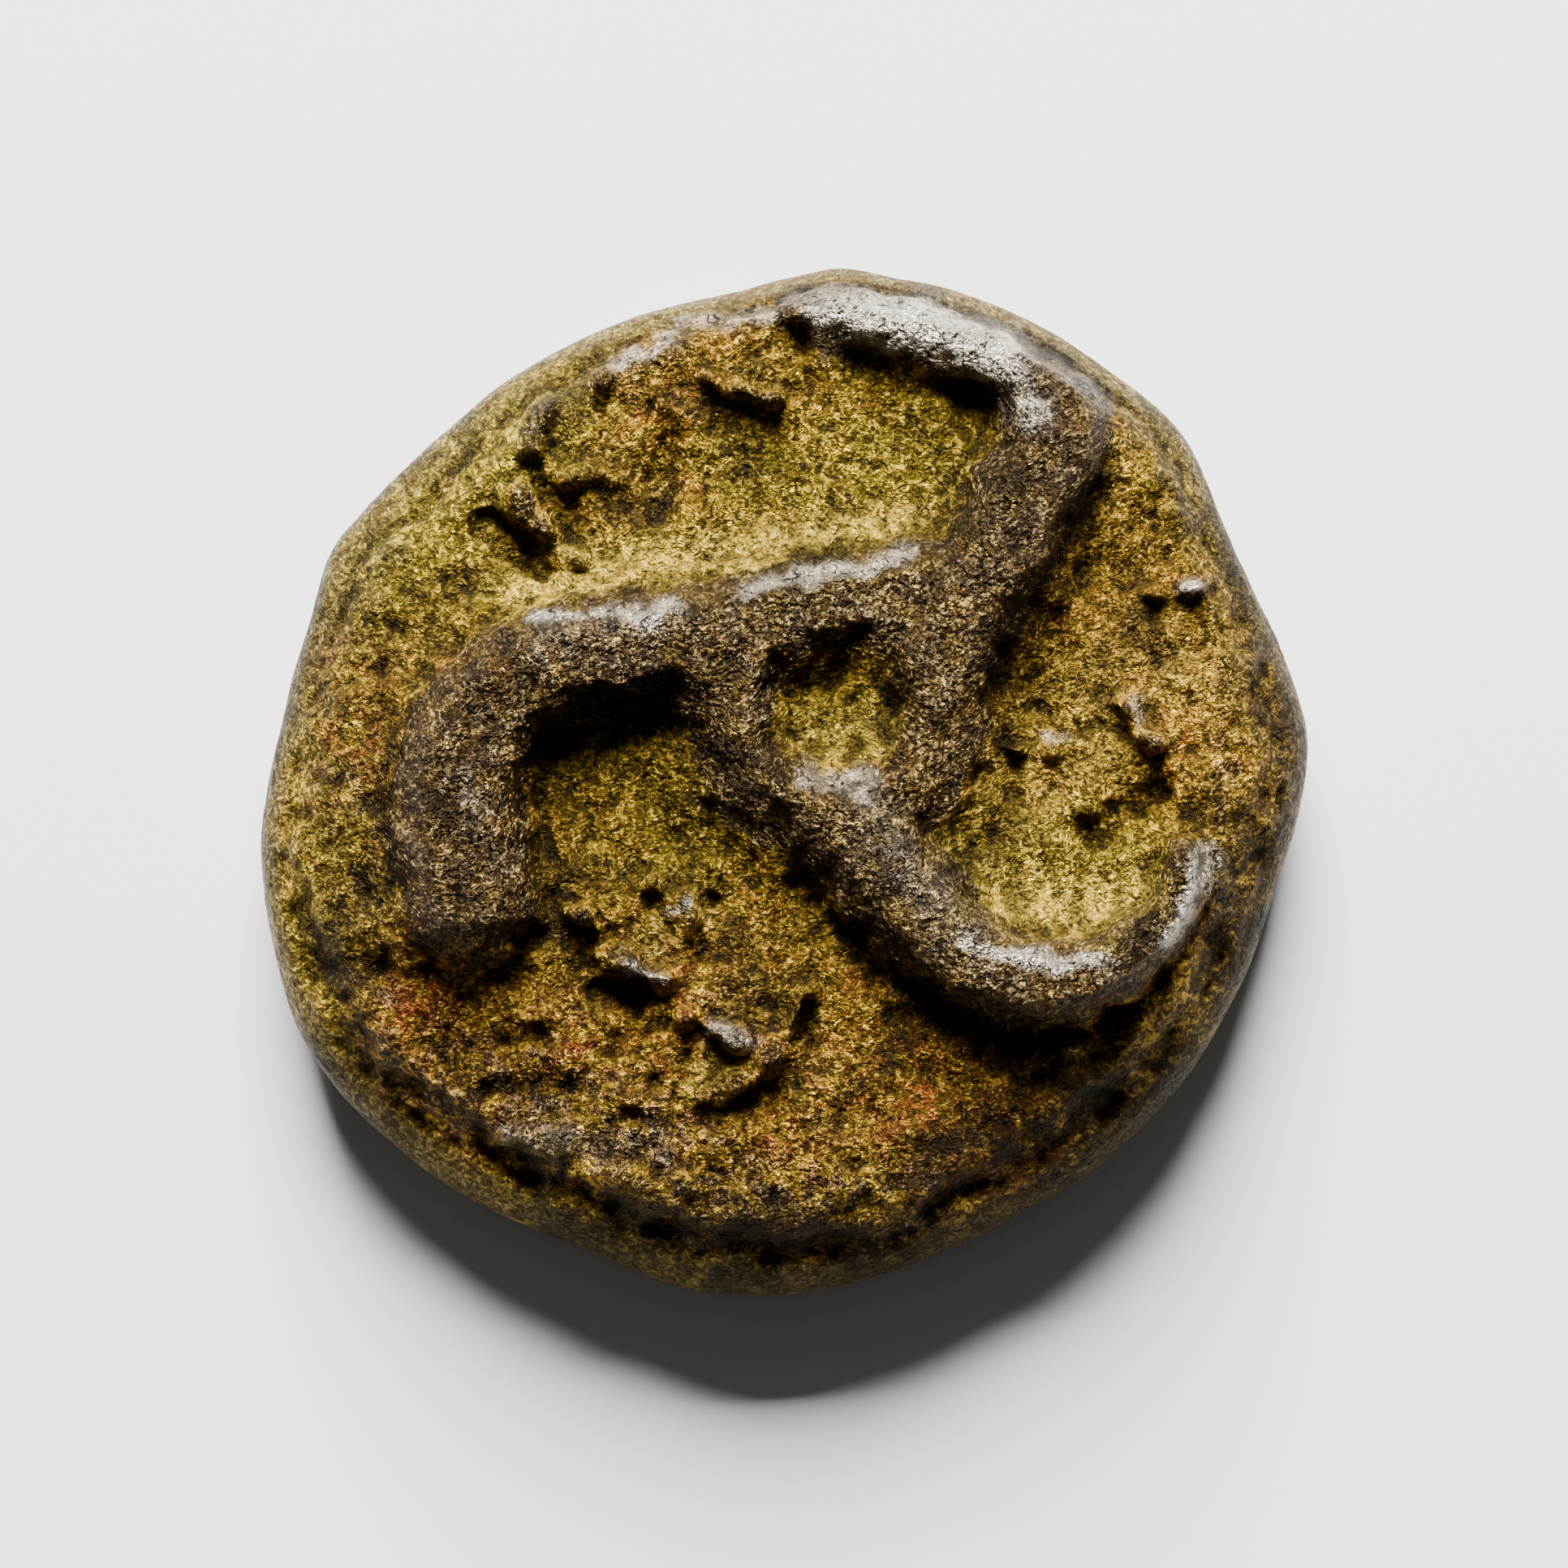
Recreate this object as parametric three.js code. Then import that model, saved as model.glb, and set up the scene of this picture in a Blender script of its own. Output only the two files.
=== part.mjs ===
// A small, thick, hand-struck bronze coin of about the fourth century BC, lying on a level surface.
// Its upper face carries a triskeles: a dished hub with three arms that leave it tangentially and
// curl round anticlockwise. Short worn strokes stand in the three fields between the arms. The edge
// is a rounded, uneven bulge that reaches out past both faces. The hidden underside is plainer: a
// star of eight rays inside a ring, worn down to the plane that the coin rests on.
// Millimetres, +Z up, origin at the middle of the coin's bounding box on the resting plane.

import * as THREE from "three";

// Driving sizes, in millimetres.
const FLAN_LENGTH = 16; // the coin's greatest width, along X
const FIELD_HEIGHT = 2.35; // from the resting plane to the upper field at the coin's middle
const WIDEST_HEIGHT = 1.15; // height of the widest line round the edge
const EDGE_BAND = 0.55; // typical reach of the bulging edge past the struck face
const DIE_SPAN = 16; // the width of flan that the die's design was laid out for
const ARM_RELIEF = 1.25; // height of the arms above the field
const HUB_RELIEF = 1.02; // height of the hub round the dish above the field
const DISH_FLOOR = 0.42; // height of the dish's floor above the field
const STROKE_RELIEF = 0.36; // height of the worn strokes above the field
const GROOVE_DEPTH = 0.24; // depth of the worn grooves below the field
const LIP_RELIEF = 0.22; // greatest height of the lip along the border of the face
const FOLD_DEPTH = 0.2; // greatest depth of the seam where the metal folded over at the border
const FIELD_DOME = 0.16; // fall of the field from its middle to the edge of the face
const FACE_DROP = 0.3; // fall over the upper face's rounded border
const BORDER_WIDTH = 0.9; // greatest width of that rounded border
const ARM_BLEND = 0.3; // height over which crossing arms and the hub run into one another
const MARK_BLEND = 0.05; // the same for strokes and the lip
const STAR_RELIEF = 0.15; // height of the underside's star and ring
const STAR_SPAN = 9.6; // width of the star from ray tip to ray tip
const STAR_BOSS = 3.6; // diameter of the round boss in the star's middle
const STAR_SLOPE = 0.5; // width of the slope round the boss
const RAY_HALF_WIDTH = 0.42; // of a ray where it leaves the boss
const UNDERSIDE_DROP = 0.24; // fall from the underside's ring to the edge of that face

// Counts of facets.
const UPPER_CELLS = 54; // cells across the upper face, an even number
const EDGE_STEPS = 3; // rows of facets on each half of the edge
const PATH_STEP = 0.0075; // step along an arm's centre line, as a share of DIE_SPAN

// The silhouette, as [angle in degrees, distance from the middle as a share of the flan's length]:
// the corners of the hammered outline and the flats between them.
const OUTLINE = [
  [4, 0.5005], [14, 0.491], [22, 0.483], [31, 0.486], [40, 0.5025], [52, 0.5], [64, 0.498],
  [76, 0.4935], [84, 0.4915], [96, 0.468], [105, 0.465], [120, 0.465], [136, 0.4655], [146, 0.475],
  [153, 0.4845], [162, 0.478], [173, 0.4825], [187, 0.5025], [199, 0.5135], [209, 0.521],
  [224, 0.508], [237, 0.4945], [248, 0.4855], [260, 0.4925], [271, 0.4885], [284, 0.478],
  [296, 0.4695], [306, 0.4735], [322, 0.475], [338, 0.477], [350, 0.4825],
];

// The edge's reach past the face, as [angle in degrees, share of EDGE_BAND].
const BAND = [
  [0, 0.65], [30, 0.6], [60, 0.5], [90, 0.5], [112, 0.7], [135, 1.05], [152, 1.05], [170, 0.65],
  [190, 0.6], [212, 0.85], [228, 1.05], [245, 0.95], [262, 1.05], [280, 0.9], [300, 0.85], [330, 0.8],
];
const EDGE_START = 35; // slope angle, in degrees, at which the edge's ellipse leaves a face

// The width of the face's rounded border, as [angle in degrees, share of BORDER_WIDTH].
const BORDER = [
  [0, 0.65], [30, 0.5], [60, 0.4], [100, 0.4], [135, 0.5], [180, 0.5], [212, 0.8], [245, 0.9],
  [270, 1], [310, 1], [335, 0.65],
];

// The lip along the border of the upper face, as [angle in degrees, share of LIP_RELIEF].
const LIP = [
  [0, 0.1], [40, 0.3], [75, 0.3], [96, 0.85], [120, 1], [140, 0.4], [170, 0.1], [200, 0.5],
  [240, 0.6], [262, 0.4], [285, 0.05], [320, 0],
];
const LIP_PLACE = 0.94; // where the lip's crest runs, as a share of the way out to the face's edge
const LIP_WIDTH = 0.045; // the lip's half width, as the same kind of share

// The seam at the border of the upper face, as [angle in degrees, share of FOLD_DEPTH].
const FOLD = [
  [0, 0.6], [30, 0.4], [60, 0.15], [100, 0], [135, 0.2], [165, 0.4], [190, 0.75], [215, 1],
  [240, 1], [265, 0.8], [290, 0.7], [320, 0.8], [345, 0.7],
];
const FOLD_PLACE = 0.97; // where the seam runs, as a share of the way out to the face's edge
const FOLD_WIDTH = 0.028; // the seam's half width, as the same kind of share

// The die's design. Places and lengths are shares of DIE_SPAN, headings and turns are in degrees,
// anticlockwise from +X.
const HUB = [0.053, 0.066];
const HUB_RADIUS = 0.142;
const DISH = [0.052, 0.064];
const DISH_RADIUS = 0.098;
const DISH_SLOPE = 1.5; // steepness of the dish's wall, 1 for a wall that reaches its middle

// Each arm starts beside the hub and runs along its legs, each of a length and a turn. Its skirt is
// the low slope along its right side, 1, or its left side, -1. Its top tilts down to the right where
// tilt is positive and to the left where it is negative.
const ARMS = [
  {
    start: [0.098, 0.02], heading: 62, skirt: 1, tilt: 1,
    legs: [[0.323, 0], [0.155, 103], [0.165, 5]],
    widths: [0.051, 0.05, 0.05, 0.052, 0.053, 0.05, 0.046, 0.04],
    heights: [0.85, 0.9, 0.95, 1, 0.9, 0.72, 0.6, 0.5],
  },
  {
    start: [0.16, 0.188], heading: 191, skirt: 1, tilt: -1,
    legs: [[0.365, 0], [0.195, 80], [0.085, 10]],
    widths: [0.044, 0.046, 0.048, 0.056, 0.062, 0.063],
    heights: [0.85, 0.9, 0.95, 1, 1, 0.95],
  },
  {
    start: [-0.056, 0.107], heading: 309, skirt: -1, tilt: 0.7,
    legs: [[0.318, 0], [0.31, 132]],
    widths: [0.056, 0.056, 0.055, 0.05, 0.042, 0.03, 0.02],
    heights: [0.85, 0.88, 0.9, 0.95, 1, 0.95, 0.8],
  },
];

// Worn strokes in the fields, as [x, y, heading, length, half width, height share].
const STROKES = [
  [-0.04, 0.373, -24, 0.062, 0.0125, 1.1],
  [-0.113, 0.345, 78, 0.018, 0.016, 1.1],
  [-0.148, 0.378, -6, 0.05, 0.018, 0.9],
  [-0.19, 0.292, -6, 0.065, 0.016, 1.2],
  [-0.24, 0.345, 76, 0.06, 0.016, 1.2],
  [-0.232, 0.242, -46, 0.085, 0.016, 1.2],
  [0.37, 0.185, 10, 0.05, 0.0125, 1.1],
  [0.252, 0.031, 2, 0.07, 0.013, 1.1],
  [0.336, 0.056, -66, 0.055, 0.0125, 1.1],
  [-0.205, -0.128, -42, 0.05, 0.0125, 1],
  [-0.15, -0.178, -24, 0.075, 0.0125, 1.1],
  [-0.103, -0.118, -60, 0.04, 0.02, 1.2],
  [-0.068, -0.085, -70, 0.025, 0.0125, 0.8],
  [-0.064, -0.24, -16, 0.045, 0.017, 1.1],
  [-0.058, -0.292, 28, 0.035, 0.022, 1],
  [-0.001, -0.24, 68, 0.085, 0.015, 1.2],
  [0.25, -0.252, 20, 0.02, 0.026, 1.2],
];

// Worn grooves in the fields, in the same form.
const GROOVES = [
  [-0.117, 0.292, 82, 0.07, 0.0125, 1],
  [-0.255, 0.222, -46, 0.075, 0.013, 1.3],
  [0.322, -0.034, 34, 0.07, 0.0125, 1],
  [-0.167, -0.208, -20, 0.04, 0.0125, 1],
];

// The sections: each runs out at its reach, in half widths from its middle line.
const FULLNESS = 0.6; // power that rounds out a ridge's flanks, 1 for a plain wave
const RIDGE_CREST = 0.36; // how far out a ridge lies level
const RIDGE_REACH = 1.4;
const RIDGE_TILT = 0.15; // fall over a ridge's tilted top, as a share of its height
const SKIRT_REACH = 2.6;
const SKIRT_HEIGHT = 0.58; // as a share of the ridge's height
const STEEP_SKIRT = 0.25; // height of the foot along a ridge's steep side, as a share of its skirt's
const SKIRT_BLEND = 0.1; // the same share over which the ridge runs into its skirt
const STROKE_REACH = 1.75;
const HUB_CREST = 0.4; // how far out the hub lies level, as a share of its radius
const HUB_REACH = 1.35;

// The underside's design: the ring lies level between two shares of the way out to the face's edge.
const RAYS = 8;
const RING_INNER = 0.775;
const RING_OUTER = 0.855;
const RING_SLOPE = 0.075; // width of the slope on either side of it, as the same kind of share
const RAY_TIP = 0.45; // width of a ray's tip, as a share of its width at the boss

const radians = (degrees) => (degrees * Math.PI) / 180;
const clamp01 = (t) => Math.min(1, Math.max(0, t));
const ease = (t) => clamp01(t) * clamp01(t) * (3 - 2 * clamp01(t));
const mix = (a, b, t) => a + (b - a) * t;

// The greater of two heights, with the crease between them rounded over the span k.
function softMax(a, b, k) {
  const overlap = Math.max(k - Math.abs(a - b), 0) / k;
  return Math.max(a, b) + (overlap * overlap * k) / 4;
}

// A smooth closed curve through rows of [degrees, value], read at an angle in radians.
function around(rows, angle) {
  const turn = 360;
  const degrees = ((((angle * 180) / Math.PI) % turn) + turn) % turn;
  const row = (i) => {
    const lap = Math.floor(i / rows.length);
    const [at, value] = rows[i - lap * rows.length];
    return [at + lap * turn, value];
  };
  let i = rows.length - 1;
  while (i >= 0 && rows[i][0] > degrees) i -= 1;
  const [before, from, to, after] = [row(i - 1), row(i), row(i + 1), row(i + 2)];
  const span = to[0] - from[0];
  const t = (degrees - from[0]) / span;
  const slopeFrom = ((to[1] - before[1]) / (to[0] - before[0])) * span;
  const slopeTo = ((after[1] - from[1]) / (after[0] - from[0])) * span;
  const rise = to[1] - from[1];
  const square = 3 * rise - 2 * slopeFrom - slopeTo;
  const cube = slopeFrom + slopeTo - 2 * rise;
  return from[1] + t * (slopeFrom + t * (square + t * cube));
}

// The outline's reach along X on both sides together, by which its shares are divided.
const OUTLINE_SPAN = [1, -1].reduce((span, side) => {
  const reach = (_, i) => side * Math.cos(radians(i)) * around(OUTLINE, radians(i));
  return span + Math.max(...Array.from({ length: 360 }, reach));
}, 0);
const flanRadius = (angle) => (FLAN_LENGTH * around(OUTLINE, angle)) / OUTLINE_SPAN;
const edgeReach = (angle) => EDGE_BAND * around(BAND, angle);
const faceRadius = (angle) => flanRadius(angle) - edgeReach(angle);

// A value read along a list of evenly spaced values, for t from 0 to 1.
function along(values, t) {
  const place = clamp01(t) * (values.length - 1);
  const i = Math.min(Math.floor(place), values.length - 2);
  return mix(values[i], values[i + 1], place - i);
}

// An arm's centre line: points in millimetres, each with the ridge's half width and height share.
function armPath(arm) {
  const total = arm.legs.reduce((sum, [length]) => sum + length, 0);
  let heading = radians(arm.heading);
  let [x, y] = arm.start.map((share) => share * DIE_SPAN);
  let done = 0;
  const path = [];
  const add = () => {
    const halfWidth = along(arm.widths, done / total) * DIE_SPAN;
    path.push({ x, y, halfWidth, height: along(arm.heights, done / total) });
  };
  add();
  for (const [length, turn] of arm.legs) {
    const steps = Math.max(1, Math.round(length / PATH_STEP));
    for (let i = 0; i < steps; i += 1) {
      heading += radians(turn) / steps / 2;
      x += (Math.cos(heading) * length * DIE_SPAN) / steps;
      y += (Math.sin(heading) * length * DIE_SPAN) / steps;
      heading += radians(turn) / steps / 2;
      done += length / steps;
      add();
    }
  }
  return path;
}

const ARM_LINES = ARMS.map((arm) => ({ ...arm, path: armPath(arm) }));

// The rounded section of a worn ridge: 1 out to its crest's half width, 0 from its reach outwards.
function section(distance, halfWidth, reach, crest = 0, fullness = 1) {
  const t = clamp01((distance / halfWidth - crest) / (reach - crest));
  return (0.5 * (1 + Math.cos(Math.PI * t))) ** fullness;
}

// The height share of an arm at a place on the face, read from the nearest point of its centre line:
// a steep round body with a tilted top, and a low skirt along one side.
function ridge({ path, skirt, tilt }, x, y) {
  let nearest = { distance: Infinity };
  for (let i = 0; i + 1 < path.length; i += 1) {
    const [a, b] = [path[i], path[i + 1]];
    const [dx, dy] = [b.x - a.x, b.y - a.y];
    const t = clamp01(((x - a.x) * dx + (y - a.y) * dy) / (dx * dx + dy * dy));
    const distance = Math.hypot(x - a.x - t * dx, y - a.y - t * dy);
    const rightwards = ((x - a.x) * dy - (y - a.y) * dx) / Math.hypot(dx, dy);
    if (distance < nearest.distance) nearest = { distance, a, b, t, rightwards };
  }
  const { distance, a, b, t, rightwards } = nearest;
  const halfWidth = mix(a.halfWidth, b.halfWidth, t);
  const side = ease(0.5 + (skirt * rightwards) / (2 * halfWidth));
  const fall = RIDGE_TILT * ease(0.5 + (tilt * rightwards) / (2 * halfWidth));
  const body = (1 - fall) * section(distance, halfWidth, RIDGE_REACH, RIDGE_CREST, FULLNESS);
  const slope = SKIRT_HEIGHT * mix(STEEP_SKIRT, 1, side) * section(distance, halfWidth, SKIRT_REACH);
  return mix(a.height, b.height, t) * softMax(body, slope, SKIRT_BLEND);
}

// A worn stroke's height share at a place on the face.
function stroke([shareX, shareY, heading, length, halfWidth, height], x, y) {
  const [dx, dy] = [x - shareX * DIE_SPAN, y - shareY * DIE_SPAN];
  const [c, s] = [Math.cos(radians(heading)), Math.sin(radians(heading))];
  const lengthways = Math.abs(dx * c + dy * s);
  const sideways = Math.abs(dy * c - dx * s);
  const beyond = Math.max(0, lengthways - (length * DIE_SPAN) / 2);
  return height * section(Math.hypot(sideways, beyond), halfWidth * DIE_SPAN, STROKE_REACH);
}

// How far a place lies on the way out to the edge of the face: 0 in the middle, 1 on the edge.
const outwards = (x, y) => Math.hypot(x, y) / faceRadius(Math.atan2(y, x));

// How far a place lies down the rounded border of a face: 0 inside it, 1 on the edge.
function borderShare(x, y) {
  const angle = Math.atan2(y, x);
  const inwards = (1 - outwards(x, y)) * faceRadius(angle);
  return clamp01(1 - inwards / (BORDER_WIDTH * around(BORDER, angle))) ** 2;
}

// Height of the upper face above the resting plane.
function upperHeight(x, y) {
  const out = outwards(x, y);
  const border = borderShare(x, y);
  const fromHub = Math.hypot(x - HUB[0] * DIE_SPAN, y - HUB[1] * DIE_SPAN);
  let relief = HUB_RELIEF * section(fromHub, HUB_RADIUS * DIE_SPAN, HUB_REACH, HUB_CREST, FULLNESS);
  for (const line of ARM_LINES) relief = softMax(relief, ARM_RELIEF * ridge(line, x, y), ARM_BLEND);
  const fromDish = Math.hypot(x - DISH[0] * DIE_SPAN, y - DISH[1] * DIE_SPAN);
  relief = mix(relief, DISH_FLOOR, ease(DISH_SLOPE * (1 - fromDish / (DISH_RADIUS * DIE_SPAN))));
  for (const mark of STROKES) relief = softMax(relief, STROKE_RELIEF * stroke(mark, x, y), MARK_BLEND);
  for (const mark of GROOVES) relief -= GROOVE_DEPTH * stroke(mark, x, y);
  const lip = LIP_RELIEF * around(LIP, Math.atan2(y, x));
  relief = softMax(relief, lip * section(Math.abs(out - LIP_PLACE), LIP_WIDTH, STROKE_REACH), MARK_BLEND);
  const foldDepth = FOLD_DEPTH * clamp01(around(FOLD, Math.atan2(y, x)));
  const fold = foldDepth * section(Math.abs(out - FOLD_PLACE), FOLD_WIDTH, STROKE_REACH);
  return FIELD_HEIGHT - FIELD_DOME * out * out + relief * (1 - border) - FACE_DROP * border - fold;
}

// Height of the underside above the resting plane: the worn star and ring lie in that plane.
function lowerHeight(x, y) {
  const out = outwards(x, y);
  const distance = Math.hypot(x, y);
  const boss = 1 - ease((distance - STAR_BOSS / 2) / STAR_SLOPE);
  const toRay = Math.abs(Math.sin((Math.atan2(y, x) * RAYS) / 2)) * ((2 * distance) / RAYS);
  const rayWidth = RAY_HALF_WIDTH * mix(1, RAY_TIP, clamp01(distance / (STAR_SPAN / 2)));
  const rayEnd = 1 - ease((distance - STAR_SPAN / 2) / STAR_SLOPE);
  const ray = rayEnd * (1 - ease((toRay - rayWidth) / STAR_SLOPE));
  const fromRing = Math.max(RING_INNER - out, out - RING_OUTER, 0);
  const ring = 1 - ease(fromRing / RING_SLOPE);
  const border = Math.max(borderShare(x, y), ease((out - RING_OUTER) / (1 - RING_OUTER)));
  return STAR_RELIEF * (1 - Math.max(boss, ray, ring)) * (1 - border) + UNDERSIDE_DROP * border;
}

// The square from -1 to 1 laid onto the unit disc: returns [distance, angle].
function onDisc(a, b) {
  if (a === 0 && b === 0) return [0, 0];
  const eighth = Math.PI / 4;
  if (Math.abs(a) > Math.abs(b)) return [Math.abs(a), eighth * (b / a) + (a < 0 ? Math.PI : 0)];
  return [Math.abs(b), 2 * eighth - eighth * (a / b) + (b < 0 ? Math.PI : 0)];
}

// A face of the coin as a grid of cells by cells quads laid onto its outline. Returns the grid's
// vertex numbers round its border, anticlockwise from the corner at -1, -1.
function addFace(mesh, cells, heightAt, facesUp) {
  const number = [];
  for (let j = 0; j <= cells; j += 1) {
    for (let i = 0; i <= cells; i += 1) {
      const [distance, angle] = onDisc((2 * i) / cells - 1, (2 * j) / cells - 1);
      const radius = distance * faceRadius(angle);
      const [x, y] = [radius * Math.cos(angle), radius * Math.sin(angle)];
      number.push(mesh.points.push([x, y, heightAt(x, y)]) - 1);
    }
  }
  const at = (i, j) => number[j * (cells + 1) + i];
  const z = (n) => mesh.points[n][2];
  for (let j = 0; j < cells; j += 1) {
    for (let i = 0; i < cells; i += 1) {
      // Each quad is cut along the diagonal that lies nearer to the surface at its middle.
      const [p, q, r, s] = [at(i, j), at(i + 1, j), at(i + 1, j + 1), at(i, j + 1)];
      const middle = [0, 1].map((k) => [p, q, r, s].reduce((sum, n) => sum + mesh.points[n][k], 0) / 4);
      const height = heightAt(...middle);
      const rising = Math.abs((z(p) + z(r)) / 2 - height) < Math.abs((z(q) + z(s)) / 2 - height);
      const halves = rising ? [[p, q, r], [p, r, s]] : [[p, q, s], [q, r, s]];
      for (const [k, l, m] of halves) mesh.triangles.push(facesUp ? [k, l, m] : [k, m, l]);
    }
  }
  const border = [];
  for (let i = 0; i < cells; i += 1) border.push(at(i, 0));
  for (let j = 0; j < cells; j += 1) border.push(at(cells, j));
  for (let i = cells; i > 0; i -= 1) border.push(at(i, cells));
  for (let j = cells; j > 0; j -= 1) border.push(at(0, j));
  return border;
}

// A band of facets between two rings of vertices, the upper one with as many or twice as many.
function addBand(mesh, upper, lower) {
  const every = upper.length / lower.length;
  lower.forEach((a, i) => {
    const b = lower[(i + 1) % lower.length];
    const above = Array.from({ length: every + 1 }, (_, k) => upper[(i * every + k) % upper.length]);
    mesh.triangles.push([a, b, above[every]]);
    for (let k = 0; k < every; k += 1) mesh.triangles.push([a, above[k + 1], above[k]]);
  });
}

// A ring of vertices at the angles of an existing border, part of the way from it to the widest line,
// on part of an ellipse that leaves the face at EDGE_START.
function addRing(mesh, border, share) {
  return border.map((n) => {
    const [x, y, z] = mesh.points[n];
    const angle = Math.atan2(y, x);
    const start = radians(EDGE_START);
    const turn = mix(start, Math.PI / 2, share);
    const reach = (Math.sin(turn) - Math.sin(start)) / (1 - Math.sin(start));
    const radius = mix(Math.hypot(x, y), flanRadius(angle), reach);
    const height = mix(WIDEST_HEIGHT, z, Math.cos(turn) / Math.cos(start));
    return mesh.points.push([radius * Math.cos(angle), radius * Math.sin(angle), height]) - 1;
  });
}

function coinGeometry() {
  const mesh = { points: [], triangles: [] };
  const upperBorder = addFace(mesh, UPPER_CELLS, upperHeight, true);
  let ring = upperBorder;
  for (let i = 1; i <= EDGE_STEPS; i += 1) {
    const next = addRing(mesh, upperBorder, i / EDGE_STEPS);
    addBand(mesh, ring, next);
    ring = next;
  }
  const lowerBorder = addFace(mesh, UPPER_CELLS / 2, lowerHeight, false);
  for (let i = EDGE_STEPS - 1; i > 0; i -= 1) {
    const next = addRing(mesh, lowerBorder, i / EDGE_STEPS);
    addBand(mesh, ring, next);
    ring = next;
  }
  addBand(mesh, ring, lowerBorder);
  const geometry = new THREE.BufferGeometry();
  geometry.setAttribute("position", new THREE.Float32BufferAttribute(mesh.points.flat(), 3));
  geometry.setIndex(mesh.triangles.flat());
  geometry.computeBoundingBox();
  const { min, max } = geometry.boundingBox;
  geometry.translate(-(min.x + max.x) / 2, -(min.y + max.y) / 2, -min.z);
  geometry.computeVertexNormals();
  return geometry;
}

const bronze = new THREE.MeshStandardMaterial({ color: 0x7d6a3c, roughness: 0.5, metalness: 0.8 });
const coin = new THREE.Mesh(coinGeometry(), bronze);
coin.name = "coin";

const group = new THREE.Group();
group.add(coin);

export default group;
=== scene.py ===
"""Looks of a small, thick, hand-struck bronze coin with a triskeles, lying on a pale floor.

The piece replaces the CAD solid with a finer mesh of the same form, worked out from the same sizes:
worn and lumpy relief, a hammered edge, corrosion grain and pits. Work is in millimetres and the
mesh is made in metres at the end. Seen from straight above, as in the photograph.
"""

import math

import bpy
import numpy as np
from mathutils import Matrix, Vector


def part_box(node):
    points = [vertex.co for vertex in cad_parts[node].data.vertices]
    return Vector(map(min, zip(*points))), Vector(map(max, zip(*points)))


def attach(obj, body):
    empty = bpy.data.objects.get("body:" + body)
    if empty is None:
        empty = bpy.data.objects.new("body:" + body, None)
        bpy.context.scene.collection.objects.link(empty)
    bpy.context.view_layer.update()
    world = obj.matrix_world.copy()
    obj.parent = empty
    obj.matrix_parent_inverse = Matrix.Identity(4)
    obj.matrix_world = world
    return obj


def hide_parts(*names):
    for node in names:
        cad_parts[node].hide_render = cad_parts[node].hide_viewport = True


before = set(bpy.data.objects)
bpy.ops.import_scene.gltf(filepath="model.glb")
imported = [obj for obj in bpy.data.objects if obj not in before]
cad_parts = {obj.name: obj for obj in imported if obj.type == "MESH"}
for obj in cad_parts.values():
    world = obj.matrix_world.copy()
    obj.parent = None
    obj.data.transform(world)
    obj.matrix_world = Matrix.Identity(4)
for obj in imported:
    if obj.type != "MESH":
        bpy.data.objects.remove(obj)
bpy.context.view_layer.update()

MM = 0.001

# Sizes of the solid, in millimetres.
FLAN_LENGTH = 16.0
FIELD_HEIGHT = 2.35
WIDEST_HEIGHT = 1.15
EDGE_BAND = 0.55
DIE_SPAN = 16.0
ARM_RELIEF = 1.25
HUB_RELIEF = 1.02
DISH_FLOOR = 0.42
STROKE_RELIEF = 0.36
GROOVE_DEPTH = 0.24
LIP_RELIEF = 0.22
FOLD_DEPTH = 0.2
FIELD_DOME = 0.16
FACE_DROP = 0.3
BORDER_WIDTH = 0.9
EDGE_START = 35.0
ARM_BLEND = 0.3
MARK_BLEND = 0.05
STAR_RELIEF = 0.15
STAR_SPAN = 9.6
STAR_BOSS = 3.6
STAR_SLOPE = 0.5
RAY_HALF_WIDTH = 0.42
UNDERSIDE_DROP = 0.24

# Round the coin. Each row is degrees anticlockwise from +X and a share: of the flan's length for the
# outline, and of the full size for the edge's band, the worn border, the lip and the fold.
OUTLINE = [
    [4, 0.5005], [14, 0.491], [22, 0.483], [31, 0.486], [40, 0.5025], [52, 0.5], [64, 0.498],
    [76, 0.4935], [84, 0.4915], [96, 0.468], [105, 0.465], [120, 0.465], [136, 0.4655], [146, 0.475],
    [153, 0.4845], [162, 0.478], [173, 0.4825], [187, 0.5025], [199, 0.5135], [209, 0.521],
    [224, 0.508], [237, 0.4945], [248, 0.4855], [260, 0.4925], [271, 0.4885], [284, 0.478],
    [296, 0.4695], [306, 0.4735], [322, 0.475], [338, 0.477], [350, 0.4825],
]
BAND = [
    [0, 0.65], [30, 0.6], [60, 0.5], [90, 0.5], [112, 0.7], [135, 1.05], [152, 1.05], [170, 0.65],
    [190, 0.6], [212, 0.85], [228, 1.05], [245, 0.95], [262, 1.05], [280, 0.9], [300, 0.85],
    [330, 0.8],
]
BORDER = [
    [0, 0.65], [30, 0.5], [60, 0.4], [100, 0.4], [135, 0.5], [180, 0.5], [212, 0.8], [245, 0.9],
    [270, 1], [310, 1], [335, 0.65],
]
LIP = [
    [0, 0.1], [40, 0.3], [75, 0.3], [96, 0.85], [120, 1], [140, 0.4], [170, 0.1], [200, 0.5],
    [240, 0.6], [262, 0.4], [285, 0.05], [320, 0],
]
LIP_PLACE = 0.94
LIP_WIDTH = 0.045
FOLD = [
    [0, 0.6], [30, 0.4], [60, 0.15], [100, 0], [135, 0.2], [165, 0.4], [190, 0.75], [215, 1],
    [240, 1], [265, 0.8], [290, 0.7], [320, 0.8], [345, 0.7],
]
FOLD_PLACE = 0.97
FOLD_WIDTH = 0.028

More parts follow.
